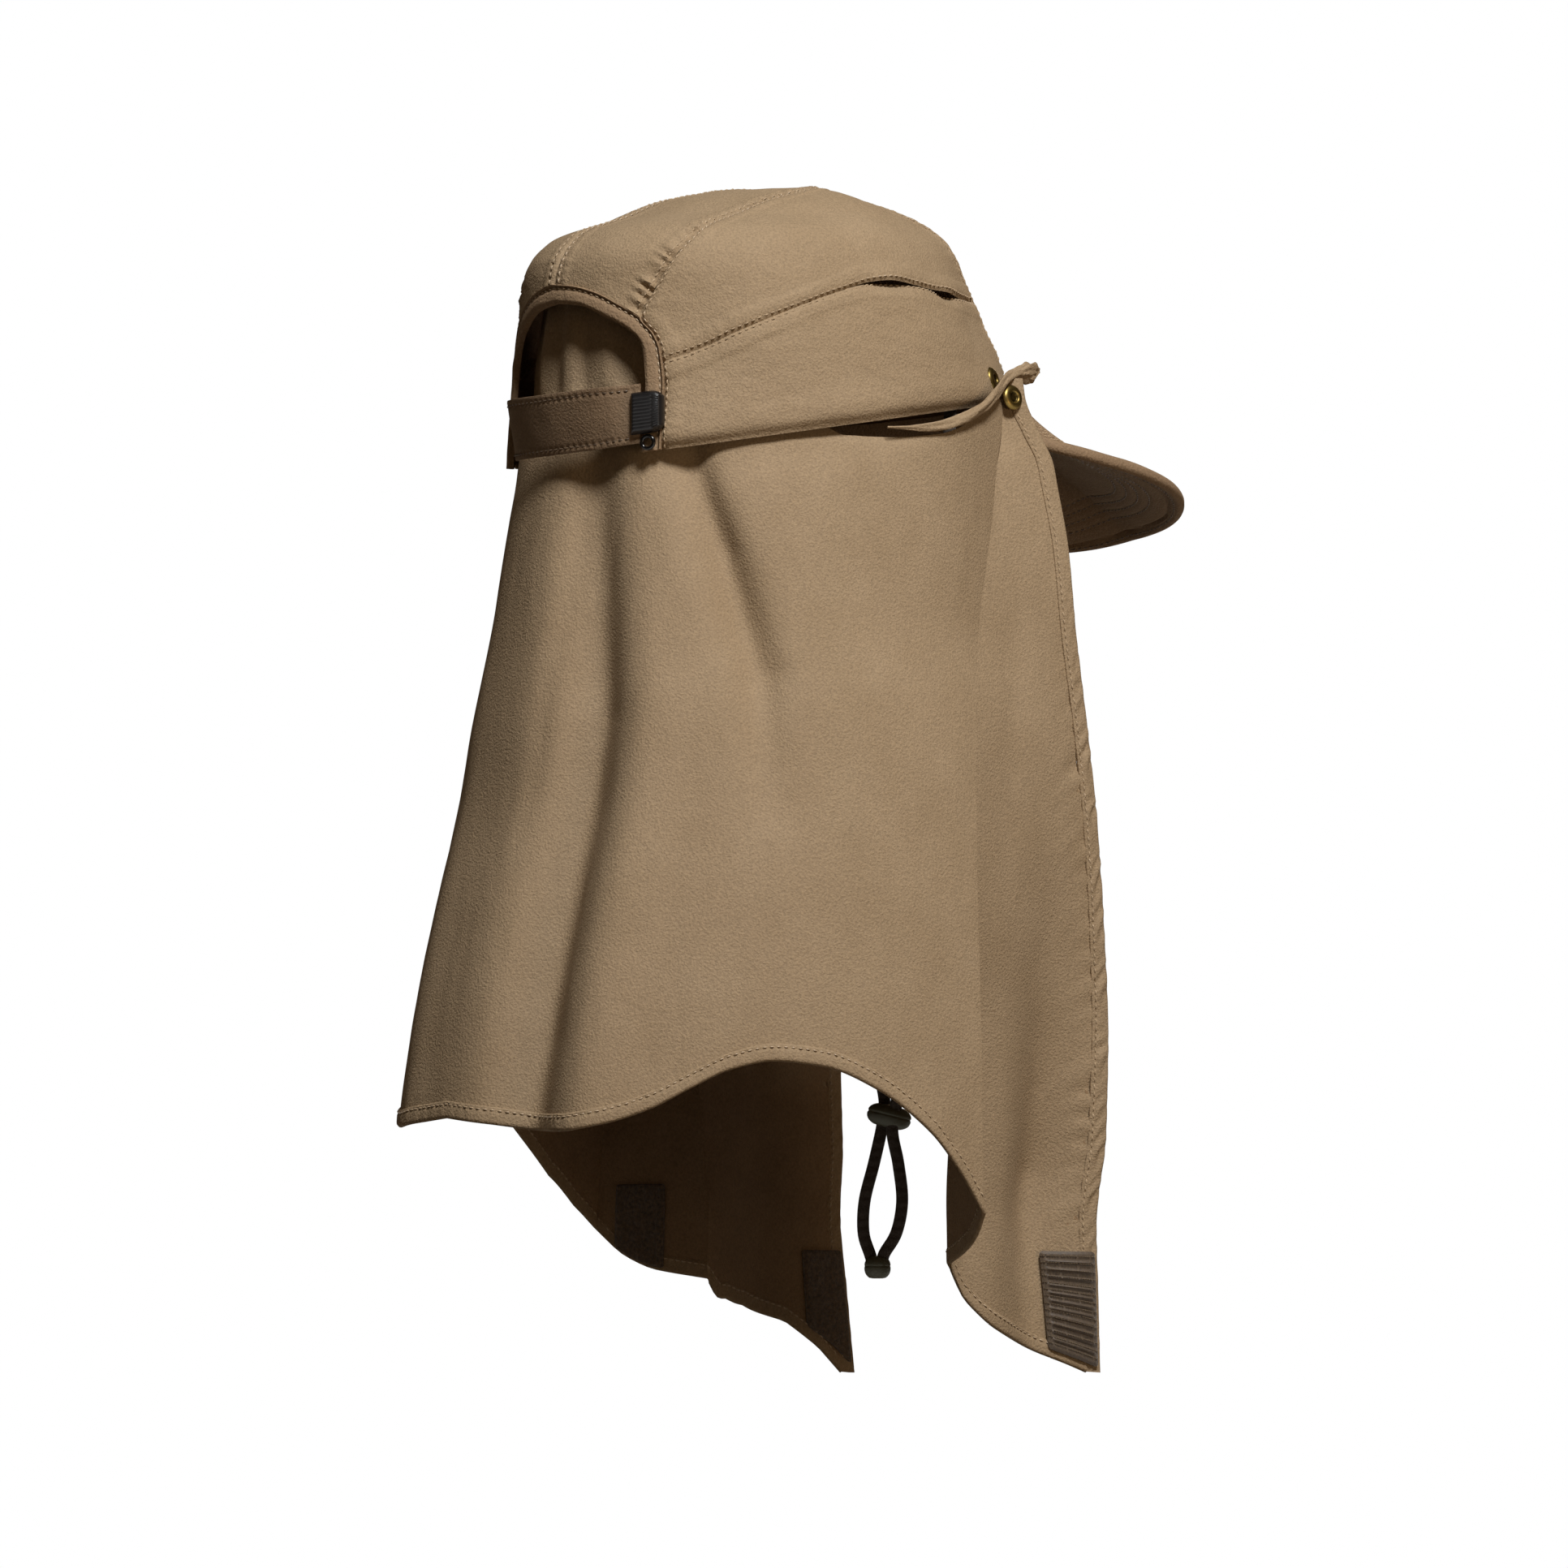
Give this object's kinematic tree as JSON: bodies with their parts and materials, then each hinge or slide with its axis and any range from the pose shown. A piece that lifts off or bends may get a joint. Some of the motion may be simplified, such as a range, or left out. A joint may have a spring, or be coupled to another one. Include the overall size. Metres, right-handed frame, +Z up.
{
  "type": "legionnaire cap",
  "caption": "Sun cap with a soft panelled crown, an adjustable rear strap, a stiff peak and a long neck cape with a chin cord.",
  "frame": {"origin": "middle of the head opening, where the rim of the crown sits on the wearer's head", "axes": "+Z up out of the crown, +Y the way the wearer faces, +X the wearer's right side"},
  "size_m": [0.2364, 0.3317, 0.4463],
  "materials": {
    "crown_cloth": "peach-skin woven polyester, matt",
    "cape_cloth": "thin crepe woven polyester, matt",
    "binding_cloth": "bias-cut folded cloth",
    "strap_webbing": "stitched double cloth",
    "peak_cloth": "cloth over a stiff board, in stitched rows",
    "clip_plastic": "moulded acetal, satin",
    "snap_brass": "antique brass",
    "hook_tape": "woven hook tape",
    "loop_tape": "brushed loop tape",
    "cord_braid": "flat braided cord",
    "lock_plastic": "moulded nylon, matt"
  },
  "bodies": {
    "root": {"rear_panel_right": "crown_cloth", "top_panel_right": "crown_cloth", "side_panel_right": "crown_cloth", "rear_panel_left": "crown_cloth", "top_panel_left": "crown_cloth", "side_panel_left": "crown_cloth", "front_panel": "crown_cloth", "arch_binding": "binding_cloth", "rear_strap": "strap_webbing", "strap_clip": "clip_plastic", "strap_ring": "clip_plastic", "peak": "peak_cloth", "cape": "cape_cloth", "cape_hem": "cape_cloth", "front_casing_right": "cape_cloth", "front_casing_left": "cape_cloth", "hook_strip": "hook_tape", "loop_strip": "loop_tape", "hook_patch": "hook_tape", "loop_patch": "loop_tape", "corner_roll_right": "cape_cloth", "snap_right": "snap_brass", "snap_socket_right": "snap_brass", "corner_roll_left": "cape_cloth", "snap_left": "snap_brass", "snap_socket_left": "snap_brass", "chin_cord_right": "cord_braid", "chin_cord_left": "cord_braid", "chin_loop_near": "cord_braid", "chin_loop_far": "cord_braid", "cord_lock": "lock_plastic", "cord_bead": "lock_plastic"}
  },
  "joints": []
}
